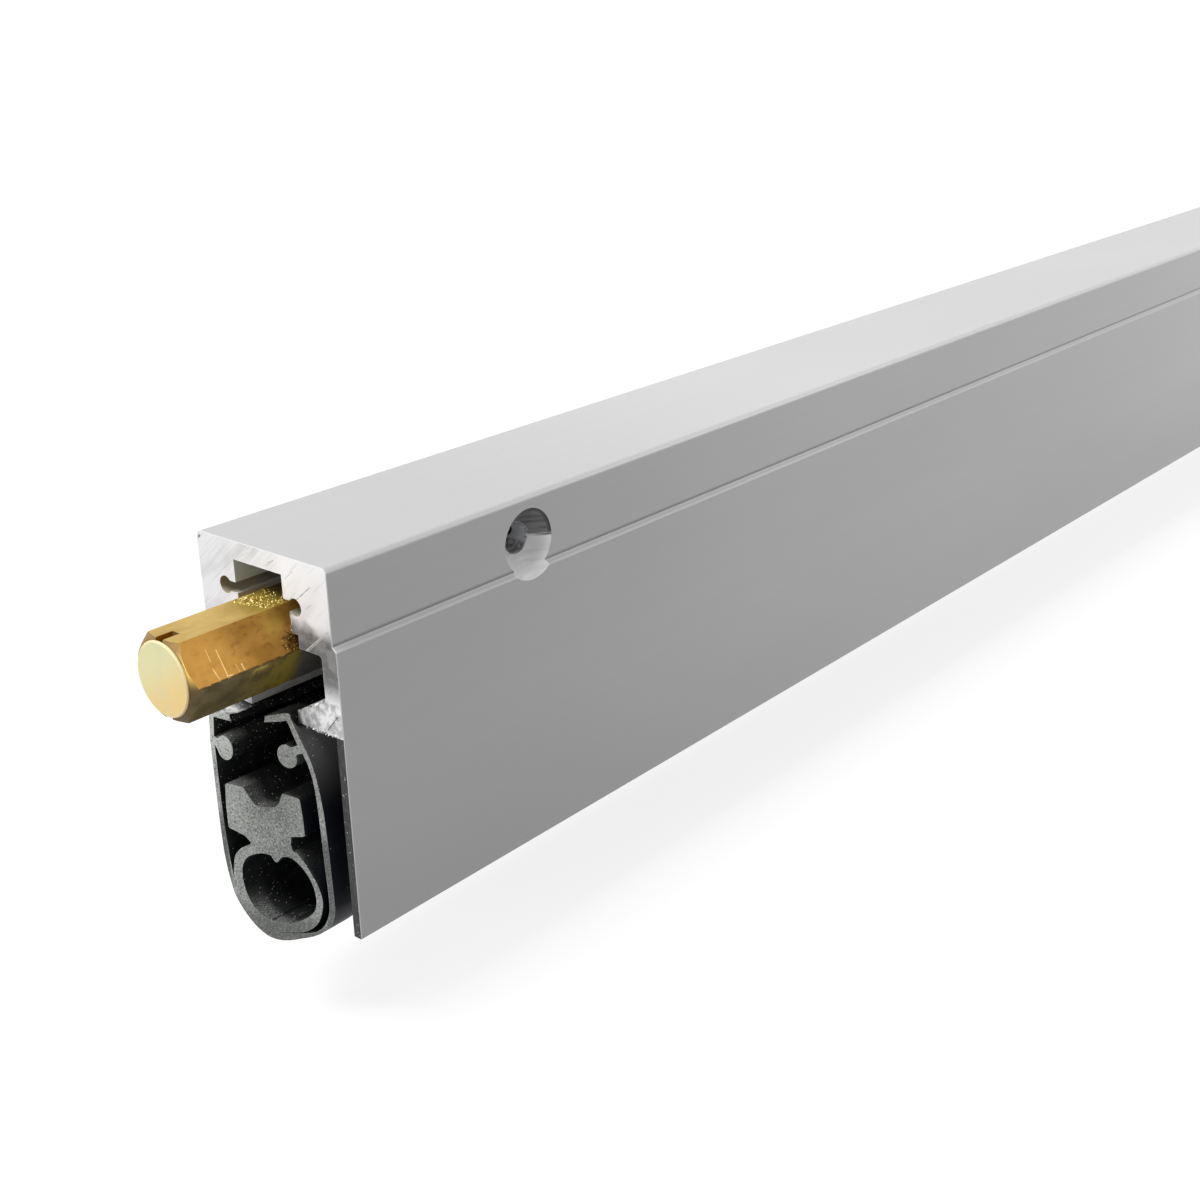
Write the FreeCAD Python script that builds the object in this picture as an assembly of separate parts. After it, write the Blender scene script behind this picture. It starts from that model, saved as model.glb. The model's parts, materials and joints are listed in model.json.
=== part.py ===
import FreeCAD, Part

import math
import os

# Automatic door bottom seal, in millimetres.
# X runs along the seal from the plunger end to the far end, -Y is the front face and +Z is up.
# The origin is on the back face, at mid-length, at the height of the fixing holes.
# Inside the sections, u is the distance from the middle plane towards the back,
# d is the depth below the top of the housing, and x is the distance from the plunger end.

# Housing extrusion
LENGTH = 610.0
WIDTH = 19.0                # back face to front face, at the top
HEIGHT = 39.1
TOP_EDGE_R = 0.6
FRONT_STEP = 0.5            # the lower front face stands out by this much
FRONT_STEP_DEPTH = 7.7
STEP_EDGE_R = 0.15
TOP_WEB = 1.9
SLOT_WIDTH = 7.1
SLOT_OFFSET = 0.5           # slot and ports lie this far towards the back
PORT_OFFSET = 5.15          # round ports beside the slot
PORT_DEPTH = 4.85
PORT_R = 0.9
PORT_NECK = 1.1
BLOCK_DEPTH = 9.0           # underside of the thick block
CHAMBER_WIDTH = 15.8
CHAMBER_R = 0.4
LEDGE_WALL_DEPTH = 13.5     # the ledges slope down from here
LEDGE_TIP_DEPTH = 15.8
LEDGE_UNDERSIDE = 17.1
LEDGE_GAP = 7.1
SIDE_WALL = 1.0
INNER_R = 0.3

# Fixing holes, countersunk from the front
HOLE_DEPTH = 5.0
HOLE_D = 3.4
HOLE_INSET = 27.2
COUNTERSINK_D = 7.1

# Plunger
TRAVEL = 10.0
AXIS_DEPTH = 9.15
HEX_FLATS = 8.0
HEX_STANDS_OUT = 12.0
HEX_END_FACE_D = 7.9
HEX_CHAMFER = 0.55
HEX_CHAMFER_ANGLE = 53      # degrees from the axis
SEAT_CLEARANCE = 0.15       # round the bar, in the housing
WAY_INSIDE_POINTS = 0.72    # the walls above the seat stand this far inside the bar's points
DRIVER_SLOT = 1.1
DRIVER_SLOT_DEEP = 1.9
TIP_D = 7.5
TIP_PROUD = 0.25
TIP_CHAMFER = 0.12
TIP_SHANK_D = 4.4
TIP_SHANK = 4.0
ROD_D = 4.0
ROD_THREAD = 8.0            # length of rod inside the hexagonal bar
NUT_FLATS = 7.0
NUT_THICKNESS = 3.2
SCREW_TO_NUT = 0.8          # from a fixing screw to the lock nut when the plunger is pushed in

# Lift mechanism: a station near each end
PLATE_THICKNESS = 1.6
PLATE_RIM = 0.9             # metal round the cam slot
TONGUE_HEIGHT = 3.4
LAP = 11.5                  # a rod's slit end is pressed onto this much of a plate's tongue
PIN_D = 2.5
PIN_REST_DEPTH = 4.5
CHEEK_LENGTH = 10.0
CHEEK_GAP = 2.2
CHEEK_ABOVE_PIN = 2.0
CHEEK_CORNER_R = 1.5
HANGER_SHEET = 1.2
HANGER_BASE_LENGTH = 32.0
HANGER_BASE_WIDTH = 5.0
HANGER_FOOT = 4.4           # how far its ends fold down into the drop bar
RUNNING = 0.05              # radial clearance of rods and pins that slide
ROD_END_CLEARANCE = 0.5     # rod end to hanger cheek
LOCATING = 0.15             # hanger cheek to guide frame, along X
SIDE_CLEARANCE = 0.2        # flat sides that slide past each other
NYLON_CLEARANCE = 0.2       # nylon parts in the housing
FRAME_END = 10.0
FRAME_END_CLEARANCE = 1.5
FRAME_TOP = 5.5
FRAME_UNDERSIDE = 16.7
GUIDE_START = 10.0
GUIDE_CRADLE = 7.0          # the stretch that carries the rod
GUIDE_UNDERSIDE = 14.6
GUIDE_PIN_D = 2.5           # pins through the back wall into the nylon
GUIDE_PIN_DEPTH = 11.4
GUIDE_PIN_LENGTH = 4.4

# Return spring
SPRING_LENGTH = 42.0
SPRING_WIRE = 0.7
SPRING_TURNS = 7
SPRING_SIDES = 16           # straight stretches in a turn
SPRING_SIDE_CLEARANCE = 0.6
COLLAR_LENGTH = 5.0
COLLAR_GAP = 2.6            # plunger guide to collar, at rest
COLLAR_SIDE_CLEARANCE = 0.55

# Rubber seal
SKIRT_WIDTH = 12.8
SKIRT_WALL = 0.5
FLANGE_CLEARANCE = 0.3      # below the ledges
FLANGE_THICKNESS = 0.8
FLANGE_LENGTH = 3.0
BEAD_R = 1.15
BEAD_INSET = 1.8            # from the outside of the skirt
BEAD_BELOW_FLANGE = 3.1
BEAD_NECK = 0.6
BEAD_NECK_RISE = 0.35
HEAD_WIDTH = 9.1
HEAD_BELOW_FLANGE = 7.5
HEAD_HEIGHT = 4.6
HEAD_CORNER = 0.8
NOTCH_MOUTH = 4.7
NOTCH_FLOOR = 1.6
NOTCH_DEEP = 2.0
NECK_WIDTH = 5.1
BULB_BELOW_HEAD = 1.7
BULB_WIDTH = 10.5
BULB_WALL = 0.95
BULB_INTO_SKIRT = 0.2       # how far the bulb sinks into the skirt's bottom
NIB_LENGTH = 0.9
NIB_WIDTH = 1.1
RIB_R = 0.25
RIB_OFFSETS = (-1.4, 0.7)
NIB_TIP_R = 0.15
RUBBER_EDGE_R = 0.25
CUT_STANDS_OUT = 2.3        # the sawn end at the middle plane
CUT_SLANT = 0.25            # extra length for each mm towards the back

# Drop bar
BAR_START = 15.0
BAR_END_GAP = 5.0
BAR_CLEARANCE = 0.25        # inside the rubber
BEAD_CLEARANCE = 0.15
BAR_HOLLOW_WIDTH = 5.2
BAR_HOLLOW_HEIGHT = 2.0
BAR_HOLLOW_R = 0.4
BAR_EDGE_R = 0.3
BAR_CEILING = 1.1           # metal above the rubber head
LIP_THICKNESS = 1.2

# Places worked out from the sizes
MIDDLE_Y = -WIDTH / 2
FLANGE_TOP = LEDGE_UNDERSIDE + FLANGE_CLEARANCE
BAR_TOP = FLANGE_TOP + FLANGE_THICKNESS
BEAD_DEPTH = FLANGE_TOP + BEAD_BELOW_FLANGE
HEAD_TOP = FLANGE_TOP + HEAD_BELOW_FLANGE
HEAD_BOTTOM = HEAD_TOP + HEAD_HEIGHT
BULB_TOP = HEAD_BOTTOM + BULB_BELOW_HEAD
BULB_CENTRE = BULB_TOP + BULB_WIDTH / 2
SKIRT_R = SKIRT_WIDTH / 2
SKIRT_CENTRE = BULB_CENTRE + BULB_WIDTH / 2 - BULB_INTO_SKIRT - (SKIRT_R - SKIRT_WALL)
BASE_TOP = BAR_TOP - HANGER_SHEET
HEX_POINT = HEX_FLATS / math.sqrt(3)
WAY_HALF = HEX_POINT - WAY_INSIDE_POINTS
HEX_INNER_X = HOLE_INSET - HOLE_D / 2 - SCREW_TO_NUT - NUT_THICKNESS - TRAVEL
GUIDE_TROUGH_END = HEX_INNER_X + NUT_THICKNESS + TRAVEL + NYLON_CLEARANCE
ROD_STOP = CHEEK_LENGTH / 2 + ROD_END_CLEARANCE
TONGUE_BACK = ROD_STOP + TRAVEL + LAP
TONGUE_FRONT = ROD_STOP + LAP
FRAME_INNER = max(TONGUE_BACK, TONGUE_FRONT + TRAVEL) + FRAME_END_CLEARANCE
FRAME_OUTER = FRAME_INNER + FRAME_END
COLLAR_END = GUIDE_TROUGH_END + GUIDE_CRADLE + COLLAR_GAP + COLLAR_LENGTH
STATION_INSET = COLLAR_END + SPRING_LENGTH + FRAME_OUTER
STATIONS = {"front": STATION_INSET, "rear": LENGTH - STATION_INSET}
CHEEK_OUTER = CHEEK_GAP / 2 + HANGER_SHEET


def at(x, u, d):
    """The point x from the plunger end, u towards the back and d below the top."""
    return FreeCAD.Vector(x - LENGTH / 2, MIDDLE_Y + u, HOLE_DEPTH - d)


def wire(corners, place):
    """Closed wire through corners (a, b) or (a, b, radius), with a tangent arc at each radius."""
    points = [FreeCAD.Vector(c[0], c[1], 0) for c in corners]
    radii = [c[2] if len(c) > 2 else 0 for c in corners]
    starts = []
    ends = []
    middles = []
    for i, corner in enumerate(points):
        back = (points[i - 1] - corner).normalize()
        ahead = (points[(i + 1) % len(points)] - corner).normalize()
        half = back.getAngle(ahead) / 2
        reach = radii[i] / math.tan(half)
        starts.append(corner + back * reach)
        ends.append(corner + ahead * reach)
        bisector = (back + ahead).normalize()
        middles.append(corner + bisector * (radii[i] / math.sin(half) - radii[i]))
    edges = []
    for i in range(len(points)):
        if radii[i]:
            arc = [place(p.x, p.y) for p in (starts[i], middles[i], ends[i])]
            edges.append(Part.Arc(*arc).toShape())
        following = starts[(i + 1) % len(points)]
        if (following - ends[i]).Length > 1e-6:
            run = [place(p.x, p.y) for p in (ends[i], following)]
            edges.append(Part.LineSegment(*run).toShape())
    return Part.Wire(edges)


def flat(corners, x):
    """Face with the outline (u, d, radius), square to X."""
    return Part.Face(wire(corners, lambda u, d: at(x, u, d)))


def disc(radius, x, u, d):
    """Round face, square to X."""
    return Part.Face(Part.Wire(Part.makeCircle(radius, at(x, u, d), FreeCAD.Vector(1, 0, 0))))


def section(corners, x, length):
    """Bar of the given length with the section (u, d, radius), from x towards the far end."""
    return flat(corners, x).extrude(FreeCAD.Vector(length, 0, 0))


def side(corners, half, middle=0.0):
    """Plate with the outline (x, d, radius), as thick as half on each side of u = middle."""
    face = Part.Face(wire(corners, lambda x, d: at(x, middle - half, d)))
    return face.extrude(FreeCAD.Vector(0, 2 * half, 0))


def mirrored(corners):
    """The corners followed by their mirror images in the middle plane."""
    return corners + [(-c[0],) + tuple(c[1:]) for c in reversed(corners)]


def block(x, length, u_low, u_high, d_top, d_bottom):
    """Box between two depths and two distances from the middle plane."""
    low = at(x, u_low, d_bottom)
    return Part.makeBox(length, u_high - u_low, d_bottom - d_top, low)


def along(radius, x, length, u=0.0, d=AXIS_DEPTH):
    """Round bar along X."""
    return Part.makeCylinder(radius, length, at(x, u, d), FreeCAD.Vector(1, 0, 0))


def across(radius, x, d, u_low, u_high):
    """Round bar along Y."""
    return Part.makeCylinder(radius, u_high - u_low, at(x, u_low, d), FreeCAD.Vector(0, 1, 0))


def capsule(x_high, d_high, x_low, d_low, radius, half):
    """Plate that covers every place of a disc moved from one point to another."""
    run = FreeCAD.Vector(x_low - x_high, d_low - d_high, 0)
    edge = FreeCAD.Vector(-run.y, run.x, 0).normalize() * radius
    corners = [(x_high + edge.x, d_high + edge.y), (x_low + edge.x, d_low + edge.y),
               (x_low - edge.x, d_low - edge.y), (x_high - edge.x, d_high - edge.y)]
    ends = [across(radius, x_high, d_high, -half, half), across(radius, x_low, d_low, -half, half)]
    return side(corners, half).fuse(ends).removeSplitter()


def hexagon(flats, x, length):
    """Hexagonal bar along the plunger's axis, with flats at the top and the bottom."""
    half = flats / 2
    point = flats / math.sqrt(3)
    top = AXIS_DEPTH - half
    bottom = AXIS_DEPTH + half
    corners = mirrored([(point / 2, top), (point, AXIS_DEPTH), (point / 2, bottom)])
    return section(corners, x, length)


def together(solids):
    """Separate solids in one shape."""
    return Part.makeCompound(solids)


# Housing


def plunger_way():
    """Space below the slot: its shoulders guide the bar's upper sides, and its foot clears the points."""
    side_reach = HEX_FLATS / 2 + SEAT_CLEARANCE
    shoulder = AXIS_DEPTH - 2 * (side_reach - WAY_HALF * math.cos(math.radians(30)))
    foot = HEX_POINT + SEAT_CLEARANCE
    corners = [(WAY_HALF, PORT_DEPTH), (WAY_HALF, shoulder), (foot, shoulder), (foot, BLOCK_DEPTH)]
    return section(mirrored(corners), 0, LENGTH)


def port(sign):
    """Round port beside the slot, open to it through a narrow neck."""
    middle = SLOT_OFFSET + sign * PORT_OFFSET
    hole = along(PORT_R, 0, LENGTH, middle, PORT_DEPTH)
    inner, outer = sorted((0, middle))
    neck = block(0, LENGTH, inner, outer, PORT_DEPTH - PORT_NECK / 2, PORT_DEPTH + PORT_NECK / 2)
    return hole.fuse(neck)


def channel():
    """Chamber, ledges and the open space below them."""
    chamber = CHAMBER_WIDTH / 2
    gap = LEDGE_GAP / 2
    front = -(WIDTH / 2 + FRONT_STEP - SIDE_WALL)
    back = WIDTH / 2 - SIDE_WALL
    below = HEIGHT + 1
    corners = [(-chamber, BLOCK_DEPTH, CHAMBER_R), (chamber, BLOCK_DEPTH, CHAMBER_R),
               (chamber, LEDGE_WALL_DEPTH), (gap, LEDGE_TIP_DEPTH), (gap, LEDGE_UNDERSIDE),
               (back, LEDGE_UNDERSIDE, INNER_R),
               (back, below), (front, below), (front, LEDGE_UNDERSIDE, INNER_R),
               (-gap, LEDGE_UNDERSIDE), (-gap, LEDGE_TIP_DEPTH), (-chamber, LEDGE_WALL_DEPTH)]
    return section(corners, 0, LENGTH)


def fixing_hole(x):
    """Hole through both walls, countersunk at 90 degrees in the upper front face and the step below it."""
    half = WIDTH / 2
    depth = (COUNTERSINK_D - HOLE_D) / 2 + FRONT_STEP
    mouth = at(x, -half - FRONT_STEP, HOLE_DEPTH)
    cone = Part.makeCone(COUNTERSINK_D / 2 + FRONT_STEP, HOLE_D / 2, depth, mouth, FreeCAD.Vector(0, 1, 0))
    return across(HOLE_D / 2, x, HOLE_DEPTH, -half, half).fuse(cone).removeSplitter()


def housing():
    half = WIDTH / 2
    front = -(half + FRONT_STEP)
    corners = [(-half, 0, TOP_EDGE_R), (half, 0, TOP_EDGE_R), (half, HEIGHT), (front, HEIGHT),
               (front, FRONT_STEP_DEPTH + FRONT_STEP, STEP_EDGE_R), (-half, FRONT_STEP_DEPTH)]
    body = section(corners, 0, LENGTH)
    slot = block(0, LENGTH, SLOT_OFFSET - SLOT_WIDTH / 2, SLOT_OFFSET + SLOT_WIDTH / 2, TOP_WEB,
                 PORT_DEPTH + PORT_NECK / 2)
    hollow = [slot, plunger_way(), port(1), port(-1), channel()]
    hollow += [fixing_hole(x) for x in (HOLE_INSET, LENGTH / 2, LENGTH - HOLE_INSET)]
    hollow += [guide_pin(x) for x in guide_pin_places()]
    return body.cut(hollow).removeSplitter()


# Nylon guides and their pins


def nylon_section(top_half, top, underside):
    """Half section of a nylon guide that lies on the ledges, wide in the chamber."""
    wide = CHAMBER_WIDTH / 2 - NYLON_CLEARANCE
    narrow = LEDGE_GAP / 2 - NYLON_CLEARANCE
    roof = BLOCK_DEPTH + NYLON_CLEARANCE
    wall = LEDGE_WALL_DEPTH - NYLON_CLEARANCE
    tip = LEDGE_TIP_DEPTH - NYLON_CLEARANCE
    half = []
    if top < roof:
        half += [(top_half, top), (top_half, roof)]
    half += [(wide, roof), (wide, wall)]
    if underside > tip:
        half += [(narrow, tip), (narrow, underside)]
    else:
        share = (underside - wall) / (tip - wall)
        half += [(wide - share * (wide - narrow), underside)]
    return half


def plunger_guide():
    """Trough that carries the hexagonal bar, the lock nut and the first stretch of the rod."""
    length = GUIDE_TROUGH_END + GUIDE_CRADLE - GUIDE_START
    half = nylon_section(0, BLOCK_DEPTH + NYLON_CLEARANCE, GUIDE_UNDERSIDE)
    body = section(mirrored(half), GUIDE_START, length)
    trough = hexagon(HEX_FLATS + 2 * RUNNING, GUIDE_START, GUIDE_TROUGH_END - GUIDE_START)
    cradle = along(ROD_D / 2 + RUNNING, GUIDE_START, length)
    pin = guide_pin(GUIDE_START + length / 2)
    return body.cut([trough, cradle, pin]).removeSplitter()


def guide_frame(station):
    """Frame that guides the rods, the cam plate's sides and the hanger's cheeks."""
    upper = LEDGE_GAP / 2 - NYLON_CLEARANCE
    half = nylon_section(min(upper, WAY_HALF - NYLON_CLEARANCE), FRAME_TOP, FRAME_UNDERSIDE)
    body = section(mirrored(half), station - FRAME_OUTER, 2 * FRAME_OUTER)
    middle = station - FRAME_INNER
    run = 2 * FRAME_INNER
    roof = BLOCK_DEPTH + NYLON_CLEARANCE
    wide = CHAMBER_WIDTH / 2
    open_top = block(middle, run, -wide, wide, FRAME_TOP, roof)
    rod = ROD_D / 2 + SIDE_CLEARANCE
    rod_way = block(middle, run, -rod, rod, FRAME_TOP, AXIS_DEPTH + rod)
    plate = PLATE_THICKNESS / 2 + SIDE_CLEARANCE
    plate_way = block(middle, run, -plate, plate, FRAME_TOP, FRAME_UNDERSIDE + 1)
    cheek = CHEEK_LENGTH / 2 + LOCATING
    wide = CHEEK_OUTER + SIDE_CLEARANCE
    hanger_way = block(station - cheek, 2 * cheek, -wide, wide, FRAME_TOP, FRAME_UNDERSIDE + 1)
    bore = along(ROD_D / 2 + RUNNING, station - FRAME_OUTER, 2 * FRAME_OUTER)
    pin = guide_pin(station + FRAME_OUTER - FRAME_END / 2)
    return body.cut([open_top, rod_way, plate_way, hanger_way, bore, pin]).removeSplitter()


def guide_pin_places():
    trough = (GUIDE_START + GUIDE_TROUGH_END + GUIDE_CRADLE) / 2
    return [trough] + [station + FRAME_OUTER - FRAME_END / 2 for station in STATIONS.values()]


def guide_pin(x):
    """Pin driven from the back face into a nylon guide, flush with the face."""
    face = WIDTH / 2
    return across(GUIDE_PIN_D / 2, x, GUIDE_PIN_DEPTH, face - GUIDE_PIN_LENGTH, face)


# Plunger and push rods


def plunger_body():
    """Hexagonal brass bar, turned to a chamfer at its end, slotted and bored."""
    start = -HEX_STANDS_OUT
    length = HEX_INNER_X - start
    bar = hexagon(HEX_FLATS, start, length)
    face_r = HEX_END_FACE_D / 2
    point_r = face_r + HEX_CHAMFER * math.tan(math.radians(HEX_CHAMFER_ANGLE))
    cone = Part.makeCone(face_r, point_r, HEX_CHAMFER, at(start, 0, AXIS_DEPTH), FreeCAD.Vector(1, 0, 0))
    envelope = cone.fuse(along(point_r, start + HEX_CHAMFER, length - HEX_CHAMFER))
    bar = bar.common(envelope)
    half = DRIVER_SLOT / 2
    slot = block(start, DRIVER_SLOT_DEEP, -half, half, AXIS_DEPTH - HEX_FLATS, AXIS_DEPTH + HEX_FLATS)
    shank = along(TIP_SHANK_D / 2, start, TIP_SHANK)
    thread = along(ROD_D / 2, HEX_INNER_X - ROD_THREAD, ROD_THREAD)
    return bar.cut([slot, shank, thread]).removeSplitter()


def plunger_tip():
    """Button pressed into the end of the hexagonal bar."""
    start = -HEX_STANDS_OUT
    radius = TIP_D / 2
    face = start - TIP_PROUD
    edge = Part.makeCone(radius - TIP_CHAMFER, radius, TIP_CHAMFER, at(face, 0, AXIS_DEPTH),
                         FreeCAD.Vector(1, 0, 0))
    button = along(radius, face + TIP_CHAMFER, TIP_PROUD - TIP_CHAMFER)
    return edge.fuse([button, along(TIP_SHANK_D / 2, start, TIP_SHANK)]).removeSplitter()


def lock_nut():
    nut = hexagon(NUT_FLATS, HEX_INNER_X, NUT_THICKNESS)
    return nut.cut(along(ROD_D / 2, HEX_INNER_X, NUT_THICKNESS))


def slotted_end(x_low, x_high):
    """The slit of a rod end that takes a plate tongue."""
    half = PLATE_THICKNESS / 2
    return block(x_low, x_high - x_low, -half, half, AXIS_DEPTH - ROD_D, AXIS_DEPTH + ROD_D)


def plunger_rod():
    start = HEX_INNER_X - ROD_THREAD
    end = STATIONS["front"] - ROD_STOP - TRAVEL
    return along(ROD_D / 2, start, end - start).cut(slotted_end(end - LAP, end))


def connecting_rod():
    start = STATIONS["front"] + ROD_STOP
    end = STATIONS["rear"] - ROD_STOP - TRAVEL
    slits = [slotted_end(start, start + LAP), slotted_end(end - LAP, end)]
    return along(ROD_D / 2, start, end - start).cut(slits)


def cam_plate(station):
    """Plate whose 45 degree slot pushes the hanger's pin down as the plate moves along X."""
    high = (station, PIN_REST_DEPTH)
    low = (station - TRAVEL, PIN_REST_DEPTH + TRAVEL)
    slot_r = PIN_D / 2 + RUNNING
    half = PLATE_THICKNESS / 2
    rim = capsule(*high, *low, slot_r + PLATE_RIM, half)
    bar = block(station - TONGUE_BACK, TONGUE_BACK + TONGUE_FRONT, -half, half,
                AXIS_DEPTH - TONGUE_HEIGHT / 2, AXIS_DEPTH + TONGUE_HEIGHT / 2)
    slot = capsule(*high, *low, slot_r, half)
    return rim.fuse(bar).cut(slot).removeSplitter()


# Return spring and its collar


def return_spring():
    """Coil spring of square wire round the rod, between the collar and the front guide frame."""
    half = SPRING_WIRE / 2
    radius = WAY_HALF - SPRING_SIDE_CLEARANCE - half
    steps = SPRING_TURNS * SPRING_SIDES
    pitch = (SPRING_LENGTH - SPRING_WIRE) / steps
    corners = ((-half, -half), (half, -half), (half, half), (-half, half))

    def ring(i):
        turn = 2 * math.pi * i / SPRING_SIDES
        middle = COLLAR_END + half + i * pitch
        return [at(middle + a, (radius + b) * math.cos(turn), AXIS_DEPTH + (radius + b) * math.sin(turn))
                for a, b in corners]

    def triangle(a, b, c):
        return Part.Face(Part.makePolygon([a, b, c, a]))

    skin = [Part.Face(Part.makePolygon(end + end[:1])) for end in (ring(0), ring(steps))]
    for i in range(steps):
        near = ring(i)
        far = ring(i + 1)
        for k in range(len(corners)):
            skin.append(triangle(near[k - 1], near[k], far[k]))
            skin.append(triangle(near[k - 1], far[k], far[k - 1]))
    shell = Part.Shell(skin)
    shell.sewShape()
    return Part.Solid(shell)


def spring_collar():
    """Collar pressed onto the rod."""
    radius = WAY_HALF - COLLAR_SIDE_CLEARANCE
    start = COLLAR_END - COLLAR_LENGTH
    return along(radius, start, COLLAR_LENGTH).cut(along(ROD_D / 2, start, COLLAR_LENGTH))


# Hangers on the drop bar


def hanger(station):
    """Folded bracket: a base on the drop bar and two cheeks that hold the cam pin."""
    x_low = station - CHEEK_LENGTH / 2
    x_high = station + CHEEK_LENGTH / 2
    top = PIN_REST_DEPTH - CHEEK_ABOVE_PIN
    cheek = [(x_low, top, CHEEK_CORNER_R), (x_high, top, CHEEK_CORNER_R),
             (x_high, BAR_TOP), (x_low, BAR_TOP)]
    middle = CHEEK_GAP / 2 + HANGER_SHEET / 2
    base = block(station - HANGER_BASE_LENGTH / 2, HANGER_BASE_LENGTH, -HANGER_BASE_WIDTH / 2,
                 HANGER_BASE_WIDTH / 2, BASE_TOP, BAR_TOP)
    cheeks = [side(cheek, HANGER_SHEET / 2, sign * middle) for sign in (-1, 1)]
    return base.fuse(cheeks + hanger_feet(station)).cut(cam_pin(station)).removeSplitter()


def hanger_feet(station):
    """The ends of the hanger's base, folded down and pressed into slots in the drop bar."""
    half = HANGER_BASE_WIDTH / 2
    places = (station - HANGER_BASE_LENGTH / 2, station + HANGER_BASE_LENGTH / 2 - HANGER_SHEET)
    return [block(x, HANGER_SHEET, -half, half, BASE_TOP, BAR_TOP + HANGER_FOOT) for x in places]


def cam_pin(station):
    """Pin pressed into both cheeks, through the cam slot."""
    return across(PIN_D / 2, station, PIN_REST_DEPTH, -CHEEK_OUTER, CHEEK_OUTER)


# Rubber seal


def skirt(x):
    """Section of the U-shaped outer skin with inward flanges along its top edges."""
    inner = SKIRT_R - SKIRT_WALL
    flange = SKIRT_R - FLANGE_LENGTH
    lower = FLANGE_TOP + FLANGE_THICKNESS
    half = [(SKIRT_R, SKIRT_CENTRE + SKIRT_R, SKIRT_R), (SKIRT_R, FLANGE_TOP, RUBBER_EDGE_R),
            (flange, FLANGE_TOP), (flange, lower, RUBBER_EDGE_R), (inner, lower, RUBBER_EDGE_R),
            (inner, SKIRT_CENTRE + inner, inner)]
    return flat(mirrored(half), x)


def beads(x):
    """Sections of the round beads inside the skirt, each with its thin neck."""
    faces = []
    inner = SKIRT_R - SKIRT_WALL / 2
    centre = SKIRT_R - BEAD_INSET
    neck_top = BEAD_DEPTH - BEAD_NECK_RISE - BEAD_NECK / 2
    for sign in (-1, 1):
        faces.append(disc(BEAD_R, x, sign * centre, BEAD_DEPTH))
        neck = [(sign * centre, neck_top), (sign * inner, neck_top),
                (sign * inner, neck_top + BEAD_NECK), (sign * centre, neck_top + BEAD_NECK)]
        faces.append(flat(neck, x))
    return faces


def head(x):
    """Section of the head in the drop bar, notched on top, with its neck down to the bulb."""
    half = HEAD_WIDTH / 2
    floor = HEAD_TOP + NOTCH_DEEP
    corners = [(NOTCH_FLOOR / 2, floor), (NOTCH_MOUTH / 2, HEAD_TOP), (half - HEAD_CORNER, HEAD_TOP),
               (half, HEAD_TOP + HEAD_CORNER), (half, HEAD_BOTTOM, RUBBER_EDGE_R),
               (NECK_WIDTH / 2, HEAD_BOTTOM), (NECK_WIDTH / 2, BULB_TOP + BULB_WALL)]
    return flat(mirrored(corners), x)


def nib(x):
    """Section of the nib that hangs from the bulb's crown."""
    crown = BULB_TOP + BULB_WALL
    root = crown - BULB_WALL / 2
    return flat([(-NIB_WIDTH / 2, root), (NIB_WIDTH / 2, root), (0, crown + NIB_LENGTH, NIB_TIP_R)], x)


def ribs(x):
    """Sections of the small ribs on the bulb's floor."""
    inner = BULB_WIDTH / 2 - BULB_WALL
    return [disc(RIB_R, x, u, BULB_CENTRE + math.sqrt(inner ** 2 - u ** 2)) for u in RIB_OFFSETS]


def seal():
    """The whole rubber extrusion, sawn at a slant at the plunger end."""
    spare = CUT_STANDS_OUT + CUT_SLANT * SKIRT_WIDTH
    bulb = disc(BULB_WIDTH / 2, -spare, 0, BULB_CENTRE)
    inside = disc(BULB_WIDTH / 2 - BULB_WALL, -spare, 0, BULB_CENTRE)
    hollow = inside.cut([nib(-spare)] + ribs(-spare))
    outside = skirt(-spare).fuse(beads(-spare) + [head(-spare), bulb])
    profile = outside.cut(hollow).removeSplitter()
    rubber = profile.extrude(FreeCAD.Vector(LENGTH + spare, 0, 0))
    front = -CUT_STANDS_OUT + CUT_SLANT * SKIRT_WIDTH
    back = -CUT_STANDS_OUT - CUT_SLANT * SKIRT_WIDTH
    low = 2 * HEIGHT
    plan = [at(-2 * spare, -SKIRT_WIDTH, low), at(front, -SKIRT_WIDTH, low),
            at(back, SKIRT_WIDTH, low), at(-2 * spare, SKIRT_WIDTH, low)]
    saw = Part.Face(Part.makePolygon(plan + plan[:1])).extrude(FreeCAD.Vector(0, 0, low))
    return rubber.cut(saw).removeSplitter()


# Drop bar


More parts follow.
